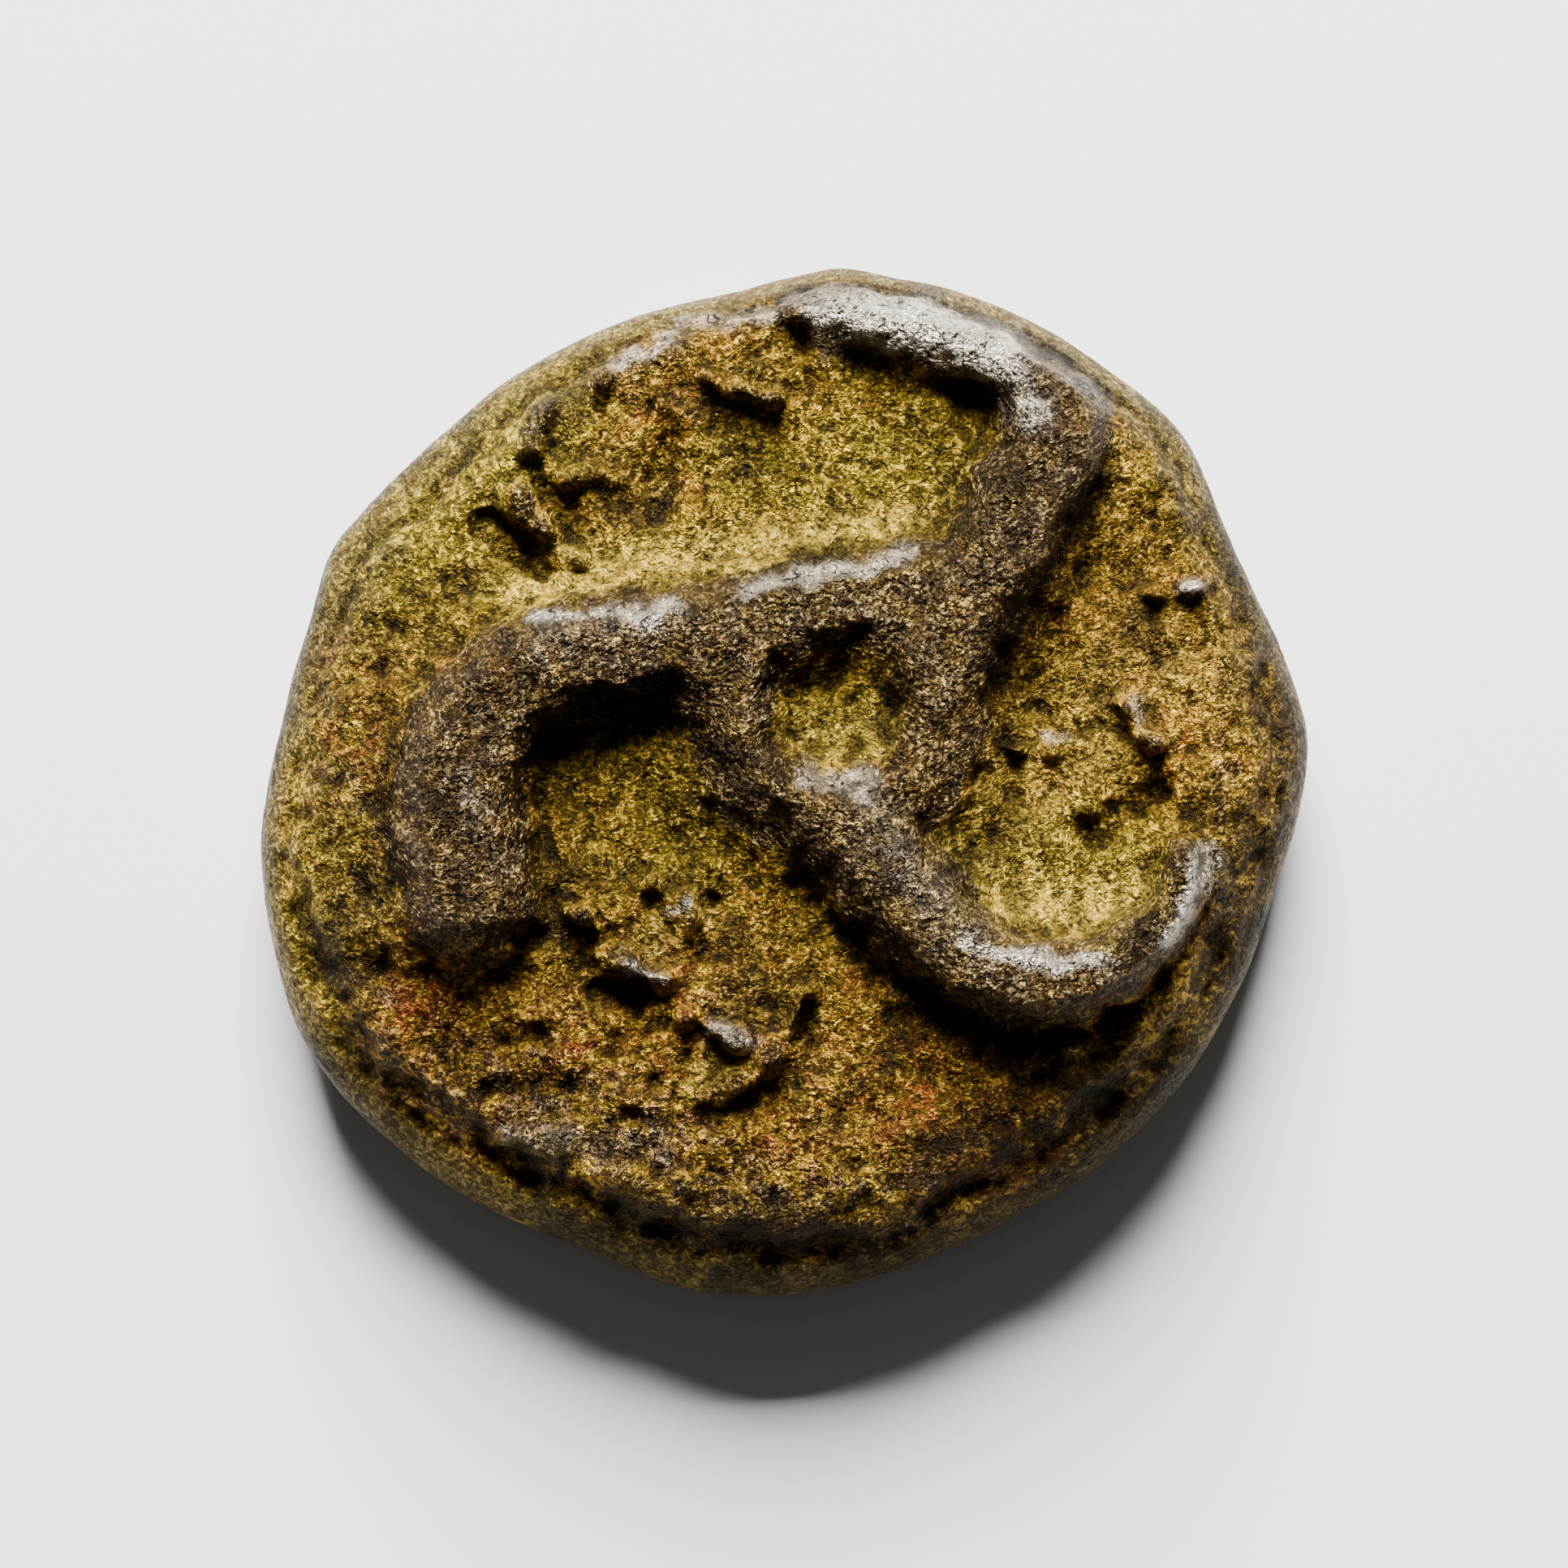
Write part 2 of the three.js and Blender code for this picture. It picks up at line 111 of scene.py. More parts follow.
# The design, in shares of the die's span and degrees. An arm starts at a place with a heading, and
# each leg of its centre line is a length and the turn along it.
HUB = [0.053, 0.066]
HUB_RADIUS = 0.142
DISH = [0.052, 0.064]
DISH_RADIUS = 0.098
DISH_SLOPE = 1.5
ARMS = [
    dict(
        start=[0.098, 0.02], heading=62, legs=[[0.323, 0], [0.155, 103], [0.165, 5]], skirt=1, tilt=1,
        widths=[0.051, 0.05, 0.05, 0.052, 0.053, 0.05, 0.046, 0.04],
        heights=[0.85, 0.9, 0.95, 1, 0.9, 0.72, 0.6, 0.5],
    ),
    dict(
        start=[0.16, 0.188], heading=191, legs=[[0.365, 0], [0.195, 80], [0.085, 10]], skirt=1, tilt=-1,
        widths=[0.044, 0.046, 0.048, 0.056, 0.062, 0.063],
        heights=[0.85, 0.9, 0.95, 1, 1, 0.95],
    ),
    dict(
        start=[-0.056, 0.107], heading=309, legs=[[0.318, 0], [0.31, 132]], skirt=-1, tilt=0.7,
        widths=[0.056, 0.056, 0.055, 0.05, 0.042, 0.03, 0.02],
        heights=[0.85, 0.88, 0.9, 0.95, 1, 0.95, 0.8],
    ),
]

# Each stroke or groove is its middle, right and up, its heading, length, half width and height.
STROKES = [
    [-0.04, 0.373, -24, 0.062, 0.0125, 1.1],
    [-0.113, 0.345, 78, 0.018, 0.016, 1.1],
    [-0.148, 0.378, -6, 0.05, 0.018, 0.9],
    [-0.19, 0.292, -6, 0.065, 0.016, 1.2],
    [-0.24, 0.345, 76, 0.06, 0.016, 1.2],
    [-0.232, 0.242, -46, 0.085, 0.016, 1.2],
    [0.37, 0.185, 10, 0.05, 0.0125, 1.1],
    [0.252, 0.031, 2, 0.07, 0.013, 1.1],
    [0.336, 0.056, -66, 0.055, 0.0125, 1.1],
    [-0.205, -0.128, -42, 0.05, 0.0125, 1],
    [-0.15, -0.178, -24, 0.075, 0.0125, 1.1],
    [-0.103, -0.118, -60, 0.04, 0.02, 1.2],
    [-0.068, -0.085, -70, 0.025, 0.0125, 0.8],
    [-0.064, -0.24, -16, 0.045, 0.017, 1.1],
    [-0.058, -0.292, 28, 0.035, 0.022, 1],
    [-0.001, -0.24, 68, 0.085, 0.015, 1.2],
    [0.25, -0.252, 20, 0.02, 0.026, 1.2],
]
GROOVES = [
    [-0.117, 0.292, 82, 0.07, 0.0125, 1],
    [-0.255, 0.222, -46, 0.075, 0.013, 1.3],
    [0.322, -0.034, 34, 0.07, 0.0125, 1],
    [-0.167, -0.208, -20, 0.04, 0.0125, 1],
]

# Sections. A crest ends and a side reaches the field at shares of a half width from the middle.
FULLNESS = 0.6
RIDGE_CREST = 0.36
RIDGE_REACH = 1.4
RIDGE_TILT = 0.15
SKIRT_REACH = 2.6
SKIRT_HEIGHT = 0.58
STEEP_SKIRT = 0.25
SKIRT_BLEND = 0.1
STROKE_REACH = 1.75
HUB_CREST = 0.4
HUB_REACH = 1.35

# The underside's star, and its ring in shares of the way out.
RAYS = 8
RING_INNER = 0.775
RING_OUTER = 0.855
RING_SLOPE = 0.075
RAY_TIP = 0.45

# Where the patina differs, and where highlight and shade are painted into the colour. Each row is a
# stretch from one place to another, as shares of the width right and up from the middle, then its
# reach to the sides as the same share, and its strength.
# Worn bare metal, partly real and partly painted highlight: pale glints where slopes face the light, on
# the top arm, along the crests, on the dish's south wall, at the bends and on some strokes.
BARE_AND_GLINT = [
    [0.05, 0.44, 0.13, 0.438, 0.03, 1], [0.13, 0.438, 0.2, 0.4, 0.032, 1],
    [0.2, 0.4, 0.235, 0.36, 0.025, 0.7], [-0.165, 0.402, -0.1, 0.436, 0.008, 0.6],
    [-0.1, 0.436, -0.02, 0.441, 0.008, 0.6], [-0.24, 0.15, -0.11, 0.164, 0.009, 0.9],
    [-0.03, 0.187, 0.12, 0.217, 0.012, 0.8], [0.02, 0.006, 0.08, -0.004, 0.015, 1],
    [0.17, -0.15, 0.22, -0.17, 0.01, 0.9], [0.22, -0.17, 0.3, -0.17, 0.011, 0.9],
    [0.397, -0.07, 0.397, -0.1, 0.013, 1], [0.397, -0.1, 0.37, -0.15, 0.012, 0.7],
    [0.38, 0.185, 0.395, 0.188, 0.012, 1], [0.25, 0.042, 0.27, 0.042, 0.009, 0.7],
    [0.338, 0.065, 0.332, 0.085, 0.008, 0.6], [-0.15, -0.178, -0.12, -0.19, 0.01, 0.45],
    [-0.07, -0.235, -0.03, -0.25, 0.01, 0.45], [-0.3, 0.0, -0.29, -0.03, 0.012, 0.15],
    [-0.25, -0.33, -0.12, -0.35, 0.02, 0.1], [0.08, -0.04, 0.19, -0.16, 0.03, 0.07],
    [-0.22, 0.135, -0.12, 0.15, 0.03, 0.08], [-0.11, -0.125, -0.1, -0.11, 0.008, 0.5],
]
OLIVE = [
    [0.0, 0.28, 0.12, 0.32, 0.11, 0.8], [-0.4, 0.18, -0.22, 0.36, 0.08, 1],
    [-0.27, 0.18, 0.1, 0.24, 0.045, 1], [-0.15, 0.03, -0.08, -0.06, 0.1, 0.6],
    [0.2, -0.08, 0.34, -0.1, 0.08, 0.9], [-0.44, 0.06, -0.46, -0.25, 0.07, 0.6],
    [0.03, 0.06, 0.07, 0.06, 0.05, 0.9], [-0.3, -0.4, -0.1, -0.47, 0.05, 0.5],
    [-0.12, 0.47, -0.2, 0.43, 0.04, 0.8], [0.3, 0.4, 0.44, 0.2, 0.04, 0.5],
]
COPPER = [
    [-0.36, -0.2, -0.28, -0.3, 0.07, 0.8], [-0.2, -0.26, 0.0, -0.33, 0.1, 0.5],
    [0.1, -0.28, 0.2, -0.33, 0.09, 0.6], [-0.42, 0.12, -0.4, 0.02, 0.05, 0.7],
    [0.34, 0.15, 0.38, 0.05, 0.07, 0.3], [0.24, 0.34, 0.26, 0.32, 0.03, 0.9],
    [0.33, -0.19, 0.4, -0.12, 0.03, 1], [-0.3, -0.03, -0.29, -0.08, 0.05, 0.6],
    [-0.2, 0.37, -0.1, 0.36, 0.05, 0.5], [-0.13, -0.2, -0.05, -0.15, 0.06, 0.4],
]
# Painted highlight: yellow brightening of slopes that face the light, north of the left arm's crest, in
# the dish, in the lower right arm's cup, in the field on the right and on some strokes.
PAINTED_LIGHT = [
    [-0.25, 0.185, -0.02, 0.22, 0.03, 0.9], [0.0, 0.23, 0.12, 0.25, 0.025, 0.8],
    [-0.12, -0.15, -0.09, -0.13, 0.03, 0.5], [-0.07, -0.29, -0.05, -0.27, 0.03, 0.6],
    [0.03, 0.045, 0.07, 0.045, 0.04, 0.7], [0.2, -0.12, 0.33, -0.12, 0.05, 0.75],
    [0.24, 0.0, 0.36, 0.1, 0.08, 0.3],
]
GREY = [
    [-0.3, -0.28, -0.1, -0.36, 0.1, 0.9], [-0.1, -0.38, 0.12, -0.4, 0.06, 0.9],
    [0.42, -0.1, 0.42, 0.1, 0.03, 0.6], [-0.42, 0.0, -0.38, -0.2, 0.04, 0.7],
    [-0.17, 0.39, -0.1, 0.42, 0.03, 0.7], [-0.08, -0.2, 0.02, -0.26, 0.05, 0.5],
]
# Darker places: dark patina on the left arm's curl, darker near the border and in the lower right, and
# painted shade on the sides of the hub and arms turned from the light, in the rows from (0.08, -0.14),
# (0.2, 0.1), (-0.17, 0.08), (0.2, 0.2), (-0.07, 0.04), (0.06, -0.12) and (0.2, 0.08).
DARK_AND_SHADE = [
    [0.15, -0.37, 0.36, -0.28, 0.08, 1], [-0.2, -0.42, 0.12, -0.44, 0.05, 0.9],
    [0.43, -0.2, 0.48, 0.05, 0.04, 0.8], [0.47, 0.05, 0.42, 0.25, 0.04, 0.8],
    [0.38, 0.3, 0.33, 0.36, 0.03, 0.6], [-0.38, -0.3, -0.44, -0.1, 0.03, 0.7],
    [0.08, -0.14, 0.16, -0.24, 0.04, 0.6], [0.2, 0.1, 0.25, 0.2, 0.04, 0.6],
    [-0.36, 0.32, -0.4, 0.2, 0.02, 0.4], [-0.3, -0.12, -0.36, -0.16, 0.03, 0.5],
    [-0.27, 0.11, -0.33, 0.0, 0.05, 0.5], [-0.33, 0.0, -0.33, -0.13, 0.055, 0.5],
    [-0.17, 0.08, -0.07, 0.09, 0.035, 0.25], [0.2, 0.2, 0.26, 0.32, 0.05, 0.45],
    [-0.07, 0.04, 0.04, -0.09, 0.03, 0.65], [0.06, -0.12, 0.19, -0.24, 0.035, 0.4],
    [0.2, 0.08, 0.27, 0.2, 0.03, 0.5], [-0.43, 0.18, -0.43, -0.05, 0.05, 0.6],
    [-0.4, 0.15, -0.37, -0.15, 0.07, 0.45],
]
TINTS = {"bare_and_glint": BARE_AND_GLINT, "olive": OLIVE, "copper": COPPER, "painted_light": PAINTED_LIGHT, "grey": GREY, "dark": DARK_AND_SHADE}
TINT_WAVER = 0.012
TINT_WAVER_SIZE = 0.6
TINT_SPREAD = 1.3
UNDERSIDE_BLOTCH_SIZE = 2.6
UNDERSIDE_COPPER_SIZE = 1.9

# Fineness of the mesh, and of the steps in which an arm's centre line is walked, in millimetres.
UPPER_CELLS = 240
EDGE_ROWS = 9
PATH_STEP = 0.05

# Each use of noise has a seed of its own. Offsets added to points keep the draws of one seed apart.
WARP_SEED = 11
WEATHER_SEED = 23
FOLD_SEED = 31
TINT_SEED = 41
RUBBED_SEED = 53
BLOTCH_SEED = 59
COPPER_SEED = 61

# How far the design's contours waver and the size of one waver, in millimetres, then the share of
# that which the arms, the strokes and the grooves take.
COARSE_WAVER = 0.085
COARSE_WAVER_SIZE = 1.3
FINE_WAVER = 0.045
FINE_WAVER_SIZE = 0.42
ARM_WAVER = 0.6
STROKE_WAVER = 2
GROOVE_WAVER = 1.5
STROKE_UNEVENNESS = 0.8
STROKE_UNEVENNESS_SIZE = 0.45
LIP_WEAR = 0.1
FOLD_WAVER = 0.02
FOLD_WAVER_SIZE = 1.4

# The dark patina of high places: where on an arm's section it begins, how ragged its border is, and
# how much of it the strokes and the underside's star take.
DESIGN_START = 0.3
DESIGN_SPAN = 0.35
DESIGN_RAGGED = 0.16
DESIGN_RAGGED_SIZE = 0.4
STROKE_DESIGN = 0.25
STAR_DESIGN = 0.65
RUBBED_SIZE = 1.5

# Weathering: how far each kind stands out and the size of one feature, in millimetres.
SWELL = 0.045
SWELL_SIZE = 1.6
LUMP = 0.11
LUMP_SIZE = 0.62
GRAIN = 0.03
GRAIN_SIZE = 0.24
PIT_DEPTH = 0.03
PIT_SIZE = 0.45
STREAK = 0.13
STREAK_SIZE = (0.75, 0.5, 0.5)
STREAK_MIDDLE = (-3.2, -4.6)
STREAK_REACH = 3.4
EDGE_MARK = 0.016
EDGE_MARK_LENGTH = 1.7
EDGE_MARK_WIDTH = 0.16
EDGE_SWELL = 0.03
EDGE_SWELL_SIZE = 1.1
EDGE_RADIUS = 7.8

# The share of the weathering that stays on the arms, on the underside and, of the grain, on the edge.
DESIGN_WEATHERING = 0.6
UNDERSIDE_WEATHERING = 0.35
EDGE_GRAIN = 0.2

# How much the mesh is smoothed to find what stands out, and the height that counts as one.
FINE_ROUNDS = 6
BROAD_ROUNDS = 50
FINE_STANDING = 0.02
BROAD_STANDING = 0.1

# The colours of the patina, of painted highlight and of painted shade; each ramp goes from the hollows
# of the grain to its tops.
GRAIN_STOPS = (0.3, 0.42, 0.52, 0.63)
FIELD_COLOURS = ("1a1202", "402f04", "684e0a", "b48e2c")
COPPER_COLOURS = ("230e02", "562808", "7f4214", "c47c3c")
OLIVE_COLOURS = ("1b1602", "443a04", "6e5c0c", "bda436")
WORN_STOPS = (0.3, 0.42, 0.52, 0.65)
WORN_COLOURS = ("0d0904", "20160b", "3a2c17", "85724c")
EDGE_STOPS = (0.32, 0.46, 0.57, 0.7)
EDGE_COLOURS = ("2c230b", "403414", "564922", "74683c")
PAINTED_LIGHT_COLOUR = "d2b048"
DARK_AND_SHADE_COLOUR = "1a1006"
PATCH_COLOUR = "140d04"
HOLLOW_AND_SHADE_COLOUR = "0c0801"
PIT_COLOUR = "070500"
BARE_AND_GLINT_COLOUR = "c0b8a9"
BUMP_DISTANCE = 0.00014

# The floor and the light, in metres, degrees and watts.
FLOOR_HALF = 0.6
FLOOR_COLOUR = (0.78, 0.78, 0.77, 1)
FLOOR_ROUGHNESS = 0.8
KEY_AZIMUTH = 93
KEY_ELEVATION = 25
KEY_DISTANCE = 0.5
KEY_SIZE = 0.3
KEY_POWER = 28
WORLD_STRENGTH = 0.068

# The photograph: 1932 pixels wide, the coin 1290 of them, its middle beside the picture's middle.
PHOTO_WIDTH = 1932
COIN_WIDTH = 1290
COIN_MIDDLE = (966.5, 963.5)
CAMERA_HEIGHT = 0.45
SENSOR_WIDTH = 36


def clamp01(t):
    return np.clip(t, 0, 1)


def ease(t):
    t = clamp01(t)
    return t * t * (3 - 2 * t)


def mix(a, b, t):
    return a + (b - a) * t


def soft_max(a, b, k):
    overlap = np.maximum(k - np.abs(a - b), 0) / k
    return np.maximum(a, b) + overlap * overlap * k / 4


def around(rows, angle):
    """A smooth closed curve through rows of [degrees, value], read at angles in radians."""
    at = np.array([row[0] for row in rows], float)
    value = np.array([row[1] for row in rows], float)
    count = len(rows)
    degrees = np.degrees(angle) % 360
    i = np.searchsorted(at, degrees, side="right") - 1

    def row(k):
        lap = np.floor_divide(k, count)
        return at[k - lap * count] + 360 * lap, value[k - lap * count]

    (at0, v0), (at1, v1), (at2, v2), (at3, v3) = (row(i + k) for k in (-1, 0, 1, 2))
    span = at2 - at1
    t = (degrees - at1) / span
    slope1 = (v2 - v0) / (at2 - at0) * span
    slope2 = (v3 - v1) / (at3 - at1) * span
    rise = v2 - v1
    return v1 + t * (slope1 + t * (3 * rise - 2 * slope1 - slope2 + t * (slope1 + slope2 - 2 * rise)))


ALL_ROUND = np.radians(np.arange(360))
OUTLINE_REACH = np.cos(ALL_ROUND) * around(OUTLINE, ALL_ROUND)
OUTLINE_SPAN = OUTLINE_REACH.max() - OUTLINE_REACH.min()


def flan_radius(angle):
    return FLAN_LENGTH * around(OUTLINE, angle) / OUTLINE_SPAN


def edge_reach(angle):
    return EDGE_BAND * around(BAND, angle)


def face_radius(angle):
    return flan_radius(angle) - edge_reach(angle)


class Noise:
    """Seeded gradient noise in three dimensions, about -1 to 1, one feature to a unit."""

    SIZE = 32
    GAIN = 1.6

    def __init__(self, seed):
        rng = np.random.default_rng(seed)
        gradients = rng.normal(size=(self.SIZE**3, 3))
        self.gradients = gradients / np.linalg.norm(gradients, axis=1)[:, None]

    def __call__(self, points):
        cell = np.floor(points).astype(np.int64)
        place = points - cell
        fade = place**3 * (place * (place * 6 - 15) + 10)
        total = np.zeros(len(points))
        for corner in np.ndindex(2, 2, 2):
            at = (cell + corner) % self.SIZE
            number = (at[:, 0] * self.SIZE + at[:, 1]) * self.SIZE + at[:, 2]
            dot = ((place - corner) * self.gradients[number]).sum(axis=1)
            weight = np.prod(np.where(corner, fade, 1 - fade), axis=1)
            total += weight * dot
        return total * self.GAIN

    def layered(self, points, octaves=3, fall=0.5):
        total = np.zeros(len(points))
        size = 1.0
        for k in range(octaves):
            total += size * self(points * 2**k + 7.3 * k)
            size *= fall
        return total


def flat_points(x, y, scale):
    """Points for noise over the face, one feature to scale millimetres."""
    return np.stack([x / scale, y / scale, np.full_like(x, 0.37)], axis=1)


def arm_path(arm):
    total = sum(length for length, _ in arm["legs"])
    heading = math.radians(arm["heading"])
    x, y = (share * DIE_SPAN for share in arm["start"])
    path = [(x, y, 0.0)]
    done = 0.0
    for length, turn in arm["legs"]:
        steps = max(1, round(length * DIE_SPAN / PATH_STEP))
        for _ in range(steps):
            heading += math.radians(turn) / steps / 2
            x += math.cos(heading) * length * DIE_SPAN / steps
            y += math.sin(heading) * length * DIE_SPAN / steps
            heading += math.radians(turn) / steps / 2
            done += length / steps
            path.append((x, y, done / total))
    return np.array(path)


def section(distance, half_width, reach, crest=0.0, fullness=1.0):
    t = clamp01((distance / half_width - crest) / (reach - crest))
    return (0.5 * (1 + np.cos(np.pi * t))) ** fullness


def ridge(arm, x, y):
    """The height share of an arm with its skirt, and that of its body alone, read from the nearest
    point of its centre line."""
    path = arm_path(arm)
    nearest = np.full_like(x, np.inf)
    share = np.zeros_like(x)
    rightwards = np.zeros_like(x)
    for (ax, ay, at), (bx, by, bt) in zip(path, path[1:]):
        dx, dy = bx - ax, by - ay
        length = math.hypot(dx, dy)
        t = clamp01(((x - ax) * dx + (y - ay) * dy) / length**2)
        distance = np.hypot(x - ax - t * dx, y - ay - t * dy)
        closer = distance < nearest
        nearest = np.where(closer, distance, nearest)
        share = np.where(closer, mix(at, bt, t), share)
        rightwards = np.where(closer, ((x - ax) * dy - (y - ay) * dx) / length, rightwards)
    evenly = np.linspace(0, 1, len(arm["widths"]))
    half_width = np.interp(share, evenly, arm["widths"]) * DIE_SPAN
    height = np.interp(share, np.linspace(0, 1, len(arm["heights"])), arm["heights"])
    side = ease(0.5 + arm["skirt"] * rightwards / (2 * half_width))
    skirt = SKIRT_HEIGHT * mix(STEEP_SKIRT, 1, side) * section(nearest, half_width, SKIRT_REACH)
    body = section(nearest, half_width, RIDGE_REACH, RIDGE_CREST, FULLNESS)
    fall = RIDGE_TILT * ease(0.5 + arm["tilt"] * rightwards / (2 * half_width))
    return height * soft_max((1 - fall) * body, skirt, SKIRT_BLEND), body


def stroke(mark, x, y):
    share_x, share_y, heading, length, half_width, height = mark
    dx, dy = x - share_x * DIE_SPAN, y - share_y * DIE_SPAN
    c, s = math.cos(math.radians(heading)), math.sin(math.radians(heading))
    sideways = np.abs(dy * c - dx * s)
    beyond = np.maximum(0, np.abs(dx * c + dy * s) - length * DIE_SPAN / 2)
    return height * section(np.hypot(sideways, beyond), half_width * DIE_SPAN, STROKE_REACH)


def border_share(out, angle):
    inwards = (1 - out) * face_radius(angle)
    return clamp01(1 - inwards / (BORDER_WIDTH * around(BORDER, angle))) ** 2


def upper_relief(x, y, out, angle):
    """(relief above the field, share of the arms and hub in it) of the upper face."""
    warp = Noise(WARP_SEED)
    coarse = flat_points(x, y, COARSE_WAVER_SIZE)
    fine = flat_points(x, y, FINE_WAVER_SIZE)
    wx = COARSE_WAVER * warp(coarse) + FINE_WAVER * warp(fine)
    wy = COARSE_WAVER * warp(coarse + 17.1) + FINE_WAVER * warp(fine + 9.7)
    ax, ay = x + ARM_WAVER * wx, y + ARM_WAVER * wy
    from_hub = np.hypot(ax - HUB[0] * DIE_SPAN, ay - HUB[1] * DIE_SPAN)
    body = section(from_hub, HUB_RADIUS * DIE_SPAN, HUB_REACH, HUB_CREST, FULLNESS)
    relief = HUB_RELIEF * body
    for arm in ARMS:
        arm_height, arm_body = ridge(arm, ax, ay)
        relief = soft_max(relief, ARM_RELIEF * arm_height, ARM_BLEND)
        body = np.maximum(body, arm_body)
    from_dish = np.hypot(ax - DISH[0] * DIE_SPAN, ay - DISH[1] * DIE_SPAN)
    in_dish = ease(DISH_SLOPE * (1 - from_dish / (DISH_RADIUS * DIE_SPAN)))
    relief = mix(relief, DISH_FLOOR, in_dish)
    ragged = DESIGN_RAGGED * warp.layered(flat_points(x, y, DESIGN_RAGGED_SIZE) + 8.1, 2)
    design = ease((body - DESIGN_START + ragged) / DESIGN_SPAN) * (1 - in_dish)
    uneven = 1 + STROKE_UNEVENNESS * warp(flat_points(x, y, STROKE_UNEVENNESS_SIZE) + 3.3)
    for mark in STROKES:
        height = stroke(mark, x + STROKE_WAVER * wx, y + STROKE_WAVER * wy)
        relief = soft_max(relief, STROKE_RELIEF * uneven * height, MARK_BLEND)
        design = np.maximum(design, STROKE_DESIGN * height)
    for mark in GROOVES:
        relief = relief - GROOVE_DEPTH * stroke(mark, x + GROOVE_WAVER * wx, y + GROOVE_WAVER * wy)
    lip = LIP_RELIEF * around(LIP, angle) * clamp01(uneven - LIP_WEAR)
    lip = lip * section(np.abs(out - LIP_PLACE), LIP_WIDTH, STROKE_REACH)
    return soft_max(relief, lip, MARK_BLEND), design


def fold(x, y, out, angle):
    """The depth of the crease where the metal folded over inside the edge."""
    wander = FOLD_WAVER * Noise(FOLD_SEED)(flat_points(x, y, FOLD_WAVER_SIZE))
    depth = FOLD_DEPTH * clamp01(around(FOLD, angle))
    return depth * section(np.abs(out + wander - FOLD_PLACE), FOLD_WIDTH, STROKE_REACH)


def upper_height(x, y, out, angle):
    relief, _ = upper_relief(x, y, out, angle)
    border = border_share(out, angle)
    flat = FIELD_HEIGHT - FIELD_DOME * out * out - FACE_DROP * border
    return flat + relief * (1 - border) - fold(x, y, out, angle)


def star_share(x, y, out, angle):
    """The share of the underside's star and ring at each point of that face."""
    distance = np.hypot(x, y)
    boss = 1 - ease((distance - STAR_BOSS / 2) / STAR_SLOPE)
    to_ray = np.abs(np.sin(angle * RAYS / 2)) * 2 * distance / RAYS
    ray_width = RAY_HALF_WIDTH * mix(1, RAY_TIP, clamp01(distance / (STAR_SPAN / 2)))
    ray_end = 1 - ease((distance - STAR_SPAN / 2) / STAR_SLOPE)
    ray = ray_end * (1 - ease((to_ray - ray_width) / STAR_SLOPE))
    from_ring = np.maximum(np.maximum(RING_INNER - out, out - RING_OUTER), 0)
    ring = 1 - ease(from_ring / RING_SLOPE)
    return np.maximum(np.maximum(boss, ray), ring)


def star_design(x, y, out, angle):
    """How far the star and the ring take the dark patina of high places, rubbed away in patches."""
    rubbed = Noise(RUBBED_SEED).layered(flat_points(x, y, RUBBED_SIZE), 3)
    return STAR_DESIGN * star_share(x, y, out, angle) * ease(0.85 + 1.1 * rubbed)


def lower_height(x, y, out, angle):
    border = np.maximum(border_share(out, angle), ease((out - RING_OUTER) / (1 - RING_OUTER)))
    hollow = STAR_RELIEF * (1 - star_share(x, y, out, angle))
    return hollow * (1 - border) + UNDERSIDE_DROP * border


def disc_grid(cells):
    """The square grid laid onto the unit disc: (share of the way out, angle) of each vertex."""
    line = np.arange(cells + 1) * 2 / cells - 1
    a, b = np.meshgrid(line, line)
    a, b = a.ravel(), b.ravel()
    wide = np.abs(a) > np.abs(b)
    safe_a = np.where(wide, a, 1)
    safe_b = np.where(wide | (b == 0), 1, b)
    out = np.where(wide, np.abs(a), np.abs(b))
    angle = np.where(
        wide,
        np.pi / 4 * (b / safe_a) + np.where(a < 0, np.pi, 0),
        np.pi / 2 - np.pi / 4 * (a / safe_b) + np.where(b < 0, np.pi, 0),
    )
    return out, angle


def grid_quads(cells):
    i, j = np.meshgrid(np.arange(cells), np.arange(cells))
    corner = (j * (cells + 1) + i).ravel()
    return np.stack([corner, corner + 1, corner + cells + 2, corner + cells + 1], axis=1)


def grid_border(cells):
    k = np.arange(cells)
    row = cells + 1
    return np.concatenate([k, k * row + cells, cells * row + cells - k, (cells - k) * row])


def ring_points(border, share):
    """A ring part of the way from a face's border to the widest line, on part of an ellipse."""
    angle = np.arctan2(border[:, 1], border[:, 0])
    start = math.radians(EDGE_START)
    turn = mix(start, np.pi / 2, share)
    outwards = (math.sin(turn) - math.sin(start)) / (1 - math.sin(start))
    radius = mix(np.hypot(border[:, 0], border[:, 1]), flan_radius(angle), outwards)
    height = mix(WIDEST_HEIGHT, border[:, 2], math.cos(turn) / math.cos(start))
    return np.stack([radius * np.cos(angle), radius * np.sin(angle), height], axis=1)


